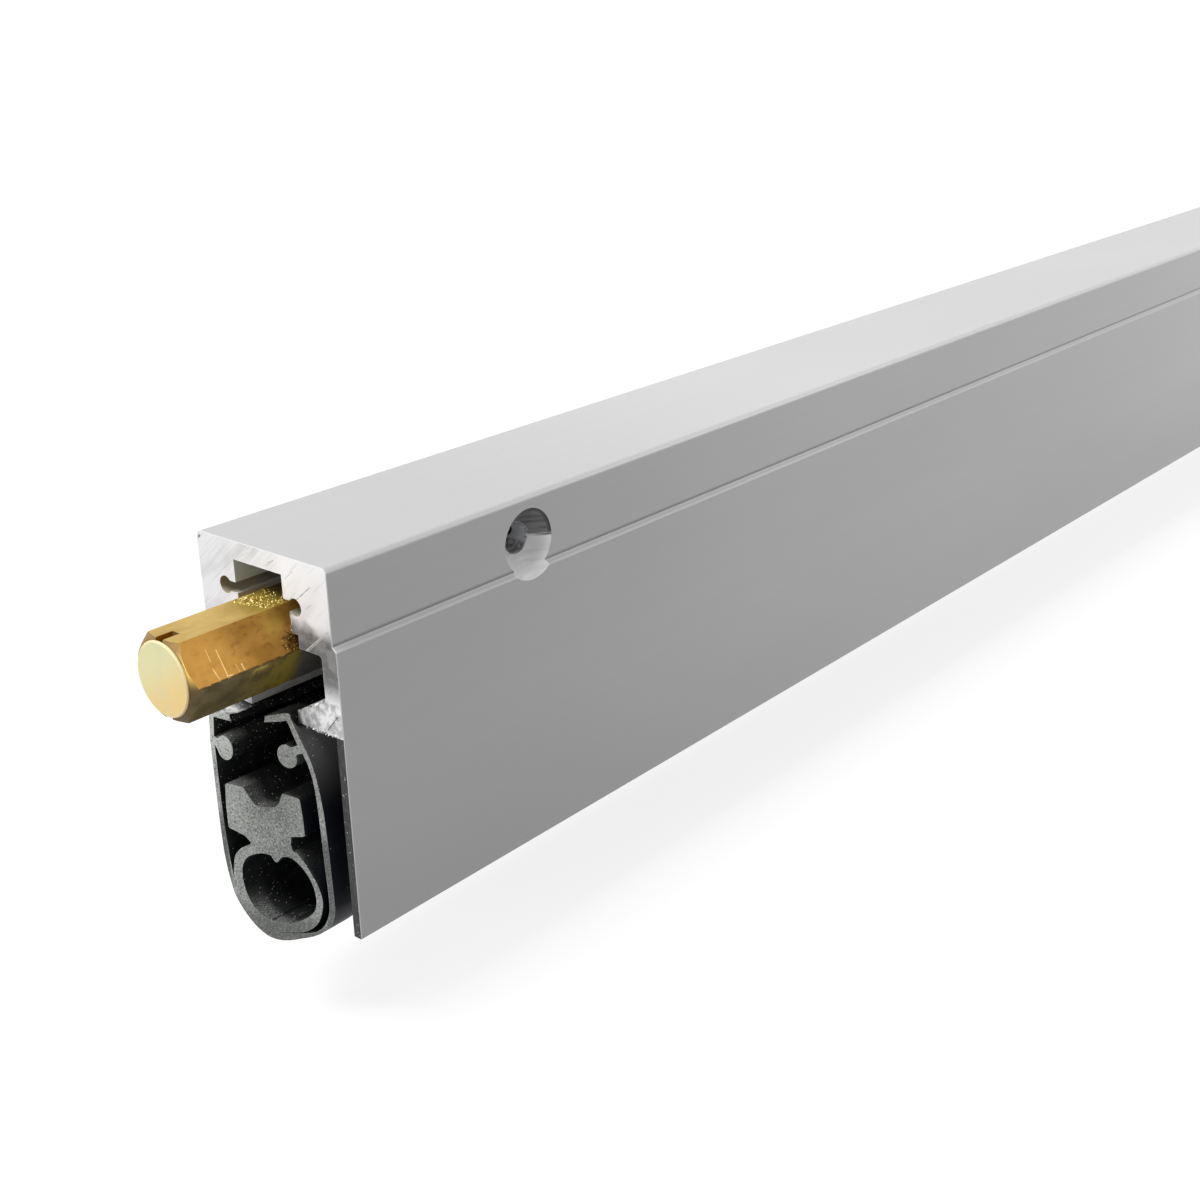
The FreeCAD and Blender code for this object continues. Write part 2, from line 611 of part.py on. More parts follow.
def drop_bar():
    """Extrusion inside the rubber: grooves for the beads and a lipped channel for the head."""
    length = LENGTH - BAR_END_GAP - BAR_START
    outer = SKIRT_R - SKIRT_WALL - BAR_CLEARANCE
    channel_half = HEAD_WIDTH / 2 + BEAD_CLEARANCE
    ceiling = HEAD_TOP - BEAD_CLEARANCE
    lip_top = HEAD_BOTTOM + BEAD_CLEARANCE
    lip = NECK_WIDTH / 2 + BEAD_CLEARANCE
    corners = mirrored([(outer, BAR_TOP, BAR_EDGE_R), (outer, lip_top + LIP_THICKNESS, BAR_EDGE_R),
                        (lip, lip_top + LIP_THICKNESS), (lip, lip_top), (channel_half, lip_top),
                        (channel_half, ceiling)])
    bar = section(corners, BAR_START, length)
    cuts = []
    centre = SKIRT_R - BEAD_INSET
    neck = BEAD_DEPTH - BEAD_NECK_RISE
    opening = BEAD_NECK / 2 + BEAD_CLEARANCE
    for sign in (-1, 1):
        cuts.append(along(BEAD_R + BEAD_CLEARANCE, BAR_START, length, sign * centre, BEAD_DEPTH))
        low, high = sorted((sign * centre, sign * SKIRT_R))
        cuts.append(block(BAR_START, length, low, high, neck - opening, neck + opening))
    hollow_bottom = ceiling - BAR_CEILING
    hollow = mirrored([(BAR_HOLLOW_WIDTH / 2, hollow_bottom - BAR_HOLLOW_HEIGHT, BAR_HOLLOW_R),
                       (BAR_HOLLOW_WIDTH / 2, hollow_bottom, BAR_HOLLOW_R)])
    cuts.append(section(hollow, BAR_START, length))
    for station in STATIONS.values():
        cuts += hanger_feet(station)
    return bar.cut(cuts).removeSplitter()


def nodes():
    """Every piece by name."""
    pieces = {
        "housing": housing(),
        "plunger_guide": plunger_guide(),
        "guide_pins": together([guide_pin(x) for x in guide_pin_places()]),
        "return_spring": return_spring(),
        "plunger_body": plunger_body(),
        "plunger_tip": plunger_tip(),
        "plunger_lock_nut": lock_nut(),
        "plunger_rod": plunger_rod(),
        "spring_collar": spring_collar(),
        "connecting_rod": connecting_rod(),
        "drop_bar": drop_bar(),
        "seal": seal(),
    }
    for name, station in STATIONS.items():
        pieces["guide_frame_" + name] = guide_frame(station)
        pieces["cam_plate_" + name] = cam_plate(station)
        pieces["hanger_" + name] = hanger(station)
        pieces["cam_pin_" + name] = cam_pin(station)
    return pieces


os.makedirs("parts", exist_ok=True)
for node, shape in nodes().items():
    shape.exportStep("parts/" + node + ".step")
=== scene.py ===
import json
import math
import random

import bmesh
import bpy
from mathutils import Matrix, Vector, geometry, noise


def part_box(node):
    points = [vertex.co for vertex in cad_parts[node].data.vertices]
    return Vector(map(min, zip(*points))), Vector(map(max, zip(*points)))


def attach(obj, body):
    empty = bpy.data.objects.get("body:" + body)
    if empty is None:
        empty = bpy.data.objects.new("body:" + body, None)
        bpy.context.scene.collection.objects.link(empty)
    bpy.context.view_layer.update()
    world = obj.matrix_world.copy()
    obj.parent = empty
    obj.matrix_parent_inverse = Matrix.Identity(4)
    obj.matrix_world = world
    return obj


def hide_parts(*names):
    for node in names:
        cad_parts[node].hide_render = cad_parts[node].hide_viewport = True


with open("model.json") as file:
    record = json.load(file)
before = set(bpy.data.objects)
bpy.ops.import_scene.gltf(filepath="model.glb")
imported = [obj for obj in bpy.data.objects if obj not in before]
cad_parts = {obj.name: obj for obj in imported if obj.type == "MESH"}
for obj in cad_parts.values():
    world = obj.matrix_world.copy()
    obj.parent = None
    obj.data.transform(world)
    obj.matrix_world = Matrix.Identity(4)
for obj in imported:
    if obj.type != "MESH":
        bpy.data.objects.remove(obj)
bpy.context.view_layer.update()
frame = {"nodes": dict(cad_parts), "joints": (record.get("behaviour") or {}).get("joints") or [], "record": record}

# Sizes and places are in millimetres, except where a comment says metres
MM = 0.001


def box(node):
    """The lowest and the highest corner of a CAD node."""
    return [[round(place / MM, 2) for place in corner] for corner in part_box(node)]


housing_low, housing_high = box("housing")
seal_low, seal_high = box("seal")
bar_low, bar_high = box("plunger_body")
ranges = {joint["name"]: joint["range_m"] for joint in frame["joints"]}

HALF = housing_high[0]                          # half the housing's length
TOP_Z = housing_high[2]                         # top of the housing
STEP_Z = -2.7                                   # where the step in its front face starts
MIDDLE_Y = (seal_low[1] + seal_high[1]) / 2     # the middle plane
SLOT_Y = MIDDLE_Y + 0.5                         # middle of the slot over the plunger
PORT_OUT = 5.2                                  # from there to the middle of each round port
HOLE_INSET = 27.2                               # the first fixing hole from the housing's end
HOLE_GAP = HALF - HOLE_INSET                    # between two fixing holes
AXIS_Z = (bar_low[2] + bar_high[2]) / 2         # the plunger's axis
BAR_HALF = (bar_high[2] - bar_low[2]) / 2       # half its hexagon's width across the flats
BAR_FACET = (bar_high[1] - bar_low[1]) / 4      # half the width of one facet
BAR_TOP = TOP_Z - bar_high[2]                   # depth of its top facet
SEAL_DROP = ranges["seal_drop"][1] / MM         # how far the pushed plunger lowers the seal
FLOOR_Z = seal_low[2] - SEAL_DROP - 0.02        # just under the lowered seal


def at(x, u, d):
    """The point x from the plunger end, u towards the back and d below the top, in metres."""
    return Vector((x - HALF, MIDDLE_Y + u, TOP_Z - d)) * MM


# Camera

CAMERA_PLACE = (-0.39586, -0.12982, 0.05657)    # in metres
CAMERA_TURN = math.radians(-49.37672)
CAMERA_RISE = math.radians(21.36950)
CAMERA_ROLL = math.radians(-1.47475)
CAMERA_VIEW = math.radians(39.93)


def add_camera():
    back = Vector((math.sin(CAMERA_TURN) * math.cos(CAMERA_RISE),
                   -math.cos(CAMERA_TURN) * math.cos(CAMERA_RISE), math.sin(CAMERA_RISE)))
    level = (-back).cross(Vector((0, 0, 1))).normalized()
    upright = level.cross(-back)
    right = math.cos(CAMERA_ROLL) * level + math.sin(CAMERA_ROLL) * upright
    up = -math.sin(CAMERA_ROLL) * level + math.cos(CAMERA_ROLL) * upright
    data = bpy.data.cameras.new("camera")
    data.sensor_width = 36
    data.angle = CAMERA_VIEW
    data.clip_start = 0.005
    camera = bpy.data.objects.new("camera", data)
    camera.matrix_world = Matrix.Translation(CAMERA_PLACE) @ Matrix(
        (right, up, back)).transposed().to_4x4()
    bpy.context.scene.collection.objects.link(camera)
    bpy.context.scene.camera = camera


add_camera()


# Materials


class Nodes:
    """A node tree, with short names for what is used often. Values are numbers or sockets."""

    def __init__(self, tree):
        self.tree = tree

    def feed(self, socket, value):
        if isinstance(value, bpy.types.NodeSocket):
            self.tree.links.new(value, socket)
        else:
            socket.default_value = value

    def node(self, kind, inputs=(), **settings):
        """A new node with these settings and inputs, which are given by name or by number."""
        made = self.tree.nodes.new("ShaderNode" + kind)
        for key, value in settings.items():
            setattr(made, key, value)
        for key, value in dict(inputs).items():
            self.feed(made.inputs[key], value)
        return made

    def math(self, operation, *values):
        return self.node("Math", enumerate(values), operation=operation).outputs[0]

    def plus(self, first, *others):
        for other in others:
            first = self.math("ADD", first, other)
        return first

    def product(self, first, *others):
        for other in others:
            first = self.math("MULTIPLY", first, other)
        return first

    def minus(self, a, b):
        return self.math("SUBTRACT", a, b)

    def without(self, mask):
        """1 where the mask is 0."""
        return self.minus(1.0, mask)

    def centred(self, value):
        """A value from 0 to 1, as -0.5 to 0.5."""
        return self.minus(value, 0.5)

    def size(self, value):
        """The value without its sign."""
        return self.math("ABSOLUTE", value)

    def distance(self, a, b):
        """How far the point (a, b) is from zero."""
        return self.math("SQRT", self.plus(self.math("POWER", a, 2.0), self.math("POWER", b, 2.0)))

    def mix(self, share, a, b, kind="RGBA"):
        """The colour a where share is 0, b where it is 1."""
        made = self.node("Mix", {"Factor": share, "A": a, "B": b}, data_type=kind)
        return made.outputs["Result"]

    def blend(self, share, a, b):
        """The number a where share is 0, b where it is 1."""
        return self.mix(share, a, b, "FLOAT")

    def ramp(self, value, low, high, start=0.0, end=1.0):
        """start below low, end above high, smooth between."""
        return self.node("MapRange", enumerate((value, low, high, start, end)),
                         interpolation_type="SMOOTHSTEP").outputs[0]

    def near(self, value, middle, reach, soft):
        """1 within reach of middle, falling to 0 over soft."""
        return self.ramp(self.size(self.minus(value, middle)), reach, reach + soft, 1.0, 0.0)

    def seen(self, shown, felt):
        """shown where a camera, glossy or transmitted ray lands, felt for the rest."""
        path = self.node("LightPath").outputs
        rays = self.math("MAXIMUM", path["Is Camera Ray"], path["Is Glossy Ray"])
        return self.blend(self.math("MAXIMUM", rays, path["Is Transmission Ray"]), felt, shown)


class Shader(Nodes):
    """A material. x, y and z are the place on the object in millimetres."""

    def __init__(self, name, **values):
        self.material = bpy.data.materials.new(name)
        self.material.use_nodes = True
        super().__init__(self.material.node_tree)
        self.tree.nodes.clear()
        self.bsdf = self.node("BsdfPrincipled")
        self.node("OutputMaterial", {0: self.bsdf.outputs[0]})
        for key, value in values.items():
            self.set(key.replace("_", " "), value)
        self.place = self.node("TexCoord").outputs["Object"]
        split = self.node("SeparateXYZ", {0: self.place})
        self.x, self.y, self.z = (self.product(socket, 1 / MM) for socket in split.outputs)

    def set(self, key, value):
        self.feed(self.bsdf.inputs[key], value)

    def facing(self, axis):
        """How far the surface faces along an axis of the object, -1 to 1."""
        normal = self.node("TexCoord").outputs["Normal"]
        return self.node("SeparateXYZ", {0: normal}).outputs[axis]

    def noise(self, scale, detail=3.0, stretch=(1, 1, 1), turn=(0, 0, 0), distortion=0.0):
        """Noise with features of 1/scale millimetres, turned first and then stretched."""
        turned = self.node("Mapping", {"Vector": self.place, "Rotation": turn}).outputs[0]
        mapped = self.node("Mapping", {"Vector": turned, "Scale": stretch}).outputs[0]
        made = self.node("TexNoise", {"Vector": mapped, "Scale": scale / MM, "Detail": detail,
                                      "Distortion": distortion})
        return made.outputs["Fac"]

    def specks(self, scale, size, share):
        """1 inside small dots, which a share of the cells of 1/scale millimetres have."""
        cells = self.node("TexVoronoi", {"Vector": self.place, "Scale": scale / MM}).outputs
        dot = self.ramp(cells["Distance"], size * 0.5, size, 1.0, 0.0)
        chance = self.node("SeparateColor", {0: cells["Color"]}).outputs[0]
        return self.product(dot, self.math("LESS_THAN", chance, share))

    def stroke(self, a, b, start, end, width):
        """1 on a ragged scratch from start to end, which are points of the places a and b."""
        run = (end[0] - start[0], end[1] - start[1])
        length = math.hypot(*run)
        along = (run[0] / length, run[1] / length)
        gap = (self.minus(a, start[0]), self.minus(b, start[1]))
        far = self.plus(self.product(gap[0], along[0]), self.product(gap[1], along[1]))
        far = self.math("MINIMUM", self.math("MAXIMUM", far, 0.0), length)
        off = self.distance(self.minus(gap[0], self.product(far, along[0])),
                            self.minus(gap[1], self.product(far, along[1])))
        ragged = self.plus(off, self.product(self.centred(self.noise(2.5, 2)), width))
        return self.ramp(ragged, width * 0.3, width * 0.6, 1.0, 0.0)

    def edge(self, radius):
        """1 on sharp edges, within radius."""
        rounded = self.node("Bevel", {"Radius": radius * MM}).outputs[0]
        normal = self.node("NewGeometry").outputs["Normal"]
        dot = self.node("VectorMath", {0: rounded, 1: normal}, operation="DOT_PRODUCT")
        return self.ramp(dot.outputs["Value"], 0.98, 0.80)

    def bump(self, height, depth):
        """Relief as deep as depth."""
        relief = self.node("Bump", {"Strength": 1.0, "Distance": depth * MM, "Height": height})
        self.set("Normal", relief.outputs[0])


def grey(value, tint=(1, 1, 1)):
    return (value * tint[0], value * tint[1], value * tint[2], 1)


SAW_TURN = (math.radians(-50), 0, 0)    # the saw's marks run at this angle
COOL = (0.97, 0.98, 1.01)
CHALK = (0.97, 1.0, 0.95)
DUST = (0.96, 1.0, 0.95)

# Marks on the sawn end: start and end as (y, z), width and how light they are
SAW_MARKS = (
    ((-15.2, -4.0), (-18.5, -1.3), 0.10, 0.62),
    ((-15.0, -4.4), (-18.7, -1.3), 0.07, 0.55),
    ((-14.5, 1.0), (-16.6, 2.7), 0.07, 0.22),
    ((-10.4, 3.45), (-11.6, 4.3), 0.07, 0.35),
    ((-10.0, 3.4), (-11.1, 4.1), 0.05, 0.45),
    ((-6.9, 3.75), (-7.8, 4.3), 0.07, 0.60),
    ((-13.1, 2.8), (-14.3, 3.8), 0.06, 0.55),
    ((-15.8, 0.4), (-16.6, 1.0), 0.05, 0.55),
    ((-0.30, 4.35), (-0.50, 4.5), 0.26, 0.22),
    ((-17.4, -11.6), (-18.9, -9.9), 0.14, 0.14),
    ((-18.0, -7.7), (-18.8, -6.9), 0.08, 0.30),
)
# Bright scratches on the plunger's front facet: start and end as (x, z), and width
BRASS_SCRATCHES = (
    ((-313.3, -1.7), (-313.25, -3.9), 0.10),
    ((-314.3, -1.4), (-314.3, -2.4), 0.07),
    ((-314.4, -3.0), (-314.15, -4.1), 0.10),
    ((-311.4, -3.5), (-311.35, -4.0), 0.13),
    ((-313.3, -3.95), (-312.7, -4.05), 0.10),
    ((-312.0, -3.3), (-311.9, -4.0), 0.05),
)


def anodised():
    """Satin extrusion, with bright sawn ends, machined countersinks, and painted light and shade inside."""
    s = Shader("anodised_aluminium", Metallic=0.15)
    lines = s.noise(1.2, 2, stretch=(0.004, 1, 1))
    saw = s.noise(0.42, 4, stretch=(0, 1, 0.30), turn=SAW_TURN)
    saw_fine = s.noise(3.2, 3, stretch=(0, 1, 0.05), turn=SAW_TURN)
    ledge = s.product(s.ramp(s.z, -8.3, -8.9), s.ramp(s.z, -12.4, -12.2))
    end = s.ramp(s.size(s.facing("X")), 0.80, 0.90)
    hole, machined = countersinks(s, end)
    colour = s.mix(end, inner_walls(s, drawn_film(s, lines)), sawn_end(s, saw, saw_fine, ledge))
    s.set("Base Color", s.mix(hole, colour, machined))
    rough = s.blend(end, s.blend(s.noise(1.5, 3), 0.42, 0.50), s.blend(saw, 0.45, 0.60))
    s.set("Roughness", s.blend(hole, rough, 0.35))
    relief = s.plus(s.product(s.without(end), lines, 0.08), s.product(end, saw, 0.6),
                    s.product(end, saw_fine, 0.35), s.product(ledge, end, s.noise(2.2, 3), 2.5))
    s.bump(relief, 0.03)
    return s.material


def drawn_film(s, lines):
    """The anodised skin outside, with painted shade low down and near the plunger's end."""
    cloud = s.noise(0.02, 3, stretch=(0.5, 1, 1))
    film = s.mix(s.ramp(cloud, 0.35, 0.65), grey(0.60), grey(0.63))
    film = s.mix(s.product(s.ramp(lines, 0.40, 0.75), 0.07), film, grey(0.52))
    # Painted shade: darker near the plunger's end and low down
    shade = s.plus(s.ramp(s.x, -210, -290, 0.0, 0.26), s.ramp(s.z, -14, -34, 0.0, 0.20))
    film = s.mix(shade, film, grey(0.33))
    # The step in the front face: painted shade in a dark line above it, and a fine dark line along its middle
    front = s.ramp(s.facing("Y"), -0.55, -0.60)
    above = s.product(front, s.ramp(s.z, STEP_Z, STEP_Z + 0.42, 1.0, 0.0),
                      s.ramp(s.z, STEP_Z - 0.05, STEP_Z))
    film = s.mix(s.product(above, 0.75), film, grey(0.16))
    line = s.product(s.near(s.z, STEP_Z - 0.24, 0.03, 0.05), front, 0.25)
    film = s.mix(line, film, grey(0.3))
    # Beside the cut the edges are worn bright
    rim = s.ramp(s.size(s.x), HALF - 0.14, HALF - 0.10)
    return s.mix(s.product(rim, 0.8), film, grey(0.92))


def inner_walls(s, film):
    """The film inside: dirty ports, a slot with painted cool light, a chamber with painted light and walls by the
    seal in painted shade.
    """
    aside = s.size(s.minus(s.y, SLOT_Y))
    ports = s.product(s.near(s.z, 0.1, 1.0, 0.3), s.near(aside, PORT_OUT, 1.3, 0.1))
    film = s.mix(s.product(ports, 0.85), film, (0.40, 0.36, 0.24, 1))
    # Painted light: the slot's walls are painted lighter and cooler than the film, to offset the warm light the
    # brass throws on them
    slot = s.product(s.ramp(s.z, 0.0, 0.4), s.ramp(aside, 3.7, 3.6), s.ramp(s.z, 3.3, 3.2))
    film = s.mix(slot, film, (0.76, 0.87, 1.0, 1))
    # Painted light: the chamber is painted near white
    chamber = s.product(s.near(s.z, -8.1, 4.0, 0.1), s.near(s.y, MIDDLE_Y, 8.2, 0.1))
    film = s.mix(chamber, film, grey(0.97))
    # Painted shade: the walls by the seal are grey under the ledge and fall to blue black lower down, mottled
    # darker, with pale specks
    walls = s.product(s.ramp(s.z, -12.4, -12.0, 1.0, 0.0), s.near(s.y, MIDDLE_Y, 9.2, 0.2))
    wall_shade = s.mix(s.ramp(s.z, -12.0, -23.0), grey(0.40), grey(0.012, (0.7, 0.9, 1.6)))
    wall_shade = s.mix(s.product(s.ramp(s.noise(0.8, 4), 0.4, 0.7), 0.3), wall_shade, grey(0.03))
    wall_shade = s.mix(s.specks(1.1, 0.07, 0.15), wall_shade, grey(0.45))
    return s.mix(walls, film, wall_shade)


def sawn_end(s, saw, saw_fine, ledge):
    """The sawn end: streaked by the saw, brighter in front, with a torn ledge, and painted shade beside the
    plunger and below the ledge.
    """
    sawn = s.mix(s.ramp(saw, 0.32, 0.58), grey(0.69, COOL), grey(0.87, COOL))
    fore = s.product(s.ramp(s.y, -11.0, -13.5), 0.9)
    sawn = s.mix(fore, sawn, s.mix(s.ramp(saw, 0.30, 0.60), grey(0.90, COOL), grey(1.0, COOL)))
    sawn = s.mix(s.product(s.ramp(saw_fine, 0.58, 0.72), 0.28), sawn, grey(0.45, COOL))
    sawn = s.mix(s.product(s.ramp(saw_fine, 0.44, 0.34), 0.5), sawn, grey(0.98, COOL))
    # The front wall's end is painted dark beside the plunger as painted shade, and lighter again towards the ledge
    slope = s.minus(s.z, s.product(s.minus(s.y, -13.3), 0.1))
    wavy = s.plus(slope, s.product(s.centred(s.noise(0.6, 3)), 1.6))
    shade_patch = s.product(s.ramp(s.y, -12.6, -13.2), s.ramp(wavy, -0.5, -2.1), s.ramp(s.z, -9.6, -6.5))
    shade_tone = s.mix(s.ramp(s.noise(1.1, 4), 0.35, 0.65), grey(0.10), grey(0.22))
    shade_tone = s.mix(s.ramp(s.z, -6.0, -9.0), shade_tone, grey(0.40))
    sawn = s.mix(s.product(shade_patch, 0.95), sawn, shade_tone)
    # The ledge's end is torn
    torn = s.mix(s.ramp(s.noise(1.3, 4), 0.36, 0.64), grey(0.36), grey(0.90))
    torn = s.mix(s.specks(2.4, 0.12, 0.10), torn, grey(0.10))
    sawn = s.mix(s.product(ledge, 0.8), sawn, torn)
    for start, end, width, light in SAW_MARKS:
        sawn = s.mix(s.stroke(s.y, s.z, start, end, width), sawn, grey(light))
    sawn = s.mix(s.product(s.edge(0.09), 0.7), sawn, grey(1.0))
    # Below the ledge it is painted near black as painted shade, with pale specks
    low = s.ramp(s.z, -12.3, -11.9, 1.0, 0.0)
    shade_below_ledge = s.ramp(s.plus(low, s.centred(s.noise(1.6, 4))), 0.45, 0.55)
    shade_with_specks = s.mix(s.ramp(s.noise(2.0, 3), 0.40, 0.66), grey(0.007), grey(0.032))
    shade_with_specks = s.mix(s.specks(2.4, 0.15, 0.12), shade_with_specks, grey(0.60))
    return s.mix(shade_below_ledge, sawn, shade_with_specks)


def countersinks(s, end):
    """1 in the fixing holes, and the colour there."""
    from_hole = s.distance(s.math("WRAP", s.x, HOLE_GAP / 2, -HOLE_GAP / 2), s.z)
    # The cone is where the distance and y add up to -15.45
    cone = s.ramp(s.plus(from_hole, s.y), -15.40, -15.34, 1.0, 0.0)
    hole = s.product(s.math("MAXIMUM", cone, s.ramp(from_hole, 1.90, 1.80)),
                     s.ramp(s.facing("Y"), -0.97, -0.93), s.without(end))
    rings = s.noise(2.4, 3, stretch=(0.12, 0.12, 1))
    machined = s.mix(s.ramp(rings, 0.36, 0.64), grey(0.77), grey(0.87))
    # The upper side of the cone is painted dark as painted shade, darkest at its outer edge
    upper = s.ramp(s.plus(s.facing("Z"), s.product(s.centred(rings), 0.5)), 0.12, 0.0)
    dark = s.mix(s.ramp(rings, 0.38, 0.62), grey(0.085, (1.0, 0.97, 1.08)), grey(0.18))
    dark = s.mix(s.ramp(from_hole, 3.10, 3.45), dark, grey(0.02))
    machined = s.mix(upper, machined, dark)
    drilled = s.mix(s.ramp(s.noise(1.8, 3), 0.35, 0.65), grey(0.34), grey(0.80))
    return hole, s.mix(s.ramp(from_hole, 1.78, 1.74), machined, drilled)


def brass():
    """Drawn hexagonal bar: mottled and scratched, with painted shade that makes it darker below, and dirty beside
    the housing.
    """
    s = Shader("brass", Metallic=0.5, Specular_IOR_Level=0.2)
    mottle = s.noise(0.35, 4, stretch=(0.6, 1, 1), distortion=0.3)
    fine = s.noise(1.9, 4, stretch=(0.6, 1, 1))
    mouth = s.product(s.ramp(s.x, -307.4, -305.2), s.ramp(s.z, -1.5, -3.2))
    top = s.mix(s.ramp(mottle, 0.35, 0.65), (0.61, 0.415, 0.110, 1), (0.50, 0.325, 0.075, 1))
    # Towards the housing the top facet darkens, and inside the housing it is painted near black as painted shade
    top = s.mix(s.ramp(s.x, -308.5, -305.5), top, (0.40, 0.285, 0.040, 1))
    top = s.mix(s.ramp(s.x, -305.0, -301.0), top, (0.06, 0.045, 0.015, 1))
    # Each facet's colour is chosen by which way it faces, as painted light and shade: lightest on top, darker on
    # the sides, darkest below
    colour = s.mix(s.ramp(s.facing("Z"), 0.75, 0.95), brass_sides(s, mottle, fine, mouth), top)
    colour = s.mix(s.ramp(s.facing("Z"), -0.30, -0.45), colour, brass_underside(s, fine))
    ridge = s.product(s.near(s.z, AXIS_Z, 0.045, 0.07), s.ramp(s.facing("Y"), -0.3, -0.6))
    ridge = s.product(ridge, s.ramp(s.noise(1.2, 2), 0.62, 0.5))
    colour = s.mix(ridge, colour, (0.13, 0.05, 0.01, 1))
    # The turned end, with painted light in front and painted shade low down, and the driver slot in it
    turned = s.mix(s.ramp(s.y, -12.4, -13.2), (0.30, 0.19, 0.07, 1), (0.80, 0.50, 0.13, 1))
    turned = s.mix(s.ramp(s.z, -2.5, -4.5), turned, (0.12, 0.08, 0.03, 1))
    colour = s.mix(s.ramp(s.facing("X"), -0.30, -0.40), colour, turned)
    slot = s.product(s.ramp(s.x, -315.0, -315.1), s.near(s.y, MIDDLE_Y, 0.6, 0.02),
                     s.ramp(s.size(s.facing("Y")), 0.8, 0.9))
    colour = s.mix(slot, colour, (0.46, 0.21, 0.008, 1))
    worn = s.product(s.edge(0.08), s.ramp(s.z, -4.4, -4.0), 0.35)
    s.set("Base Color", s.mix(worn, colour, (0.95, 0.74, 0.34, 1)))
    s.set("Roughness", s.blend(s.ramp(s.noise(1.2, 3), 0.3, 0.7), 0.34, 0.50))
    drawn = s.noise(3.0, 2, stretch=(0.03, 1, 1))
    s.bump(s.plus(s.product(drawn, 0.3), s.product(mouth, fine, 1.5)), 0.03)
    return s.material


def brass_sides(s, mottle, fine, mouth):
    """The upper side facets, scratched, and dark and gritty in the mouth of the housing, with a painted highlight
    near it.
    """
    side = s.mix(s.ramp(mottle, 0.38, 0.62), (0.47, 0.245, 0.048, 1), (0.39, 0.185, 0.030, 1))
    side = s.mix(s.product(s.ramp(fine, 0.50, 0.72), 0.5), side, (0.18, 0.075, 0.015, 1))
    side = s.mix(s.product(s.ramp(s.x, -309.0, -315.0), 0.5), side, (0.56, 0.30, 0.06, 1))
    for start, end, width in BRASS_SCRATCHES:
        scratch = s.product(s.stroke(s.x, s.z, start, end, width), 0.75)
        side = s.mix(scratch, side, (0.90, 0.66, 0.30, 1))
    grit = s.mix(s.specks(2.6, 0.22, 0.50), (0.085, 0.034, 0.008, 1), (0.66, 0.42, 0.12, 1))
    broken = s.ramp(s.plus(s.product(mouth, 0.6), s.noise(2.6, 4)), 0.68, 1.15)
    side = s.mix(broken, side, grit)
    # A painted highlight on the side facets near the housing
    glow = s.product(s.near(s.x, -306.4, 0.5, 1.0), s.near(s.z, -1.5, 0.2, 0.8))
    return s.mix(s.product(glow, 0.6), side, (0.58, 0.38, 0.07, 1))


def brass_underside(s, fine):
    """The lower facets, painted dark as painted shade with darker blotches, with one painted highlight, and flat
    grey inside the housing.
    """
    underside_shade_and_glint = s.mix(s.ramp(s.x, -313.0, -305.0), (0.26, 0.20, 0.09, 1), (0.36, 0.27, 0.035, 1))
    blotches = s.product(s.ramp(s.noise(0.6, 4), 0.44, 0.64), 0.7)
    underside_shade_and_glint = s.mix(blotches, underside_shade_and_glint, (0.11, 0.08, 0.022, 1))
    # A painted highlight on the lower facet
    bright = s.product(s.near(s.x, -309.4, 0.5, 0.7), s.near(s.z, -4.6, 0.2, 0.45))
    underside_shade_and_glint = s.mix(s.product(bright, s.ramp(fine, 0.4, 0.6)), underside_shade_and_glint, (0.75, 0.58, 0.14, 1))
    underside_shade_and_glint = s.mix(s.ramp(s.x, -305.8, -303.2), underside_shade_and_glint, grey(0.13, (1.0, 0.97, 0.90)))
    return s.mix(s.specks(0.8, 0.09, 0.3), underside_shade_and_glint, (0.70, 0.62, 0.35, 1))


def cream_nylon():
    """Smooth moulded button, paler at one side, with painted highlights in a band and round its rim."""
    s = Shader("cream_nylon", Roughness=0.38, Subsurface_Weight=0.1, Subsurface_Scale=MM,
               Subsurface_Radius=(1.0, 0.8, 0.4))
    up = s.minus(s.z, AXIS_Z)
    back = s.minus(s.y, MIDDLE_Y)
    across = s.plus(up, s.product(back, 0.7), s.product(s.centred(s.noise(0.25, 2)), 3))
    colour = s.mix(s.ramp(across, -3.2, 3.0), (0.93, 0.66, 0.26, 1), (0.84, 0.80, 0.43, 1))
    # A painted highlight: a pale soft band down the middle
    highlight_band = s.product(s.near(s.y, MIDDLE_Y, 0.2, 1.5), s.ramp(s.noise(0.5, 2), 0.35, 0.65), 0.5)
    colour = s.mix(highlight_band, colour, (0.76, 0.70, 0.46, 1))
    # A painted highlight round its rim
    rim = s.product(s.ramp(s.distance(up, back), 3.45, 3.6), 0.6)
    colour = s.mix(rim, colour, (0.98, 0.80, 0.45, 1))
    s.set("Base Color", s.mix(s.specks(0.35, 0.05, 0.5), colour, (0.25, 0.18, 0.08, 1)))
    s.bump(s.noise(2.5, 3), 0.005)
    return s.material


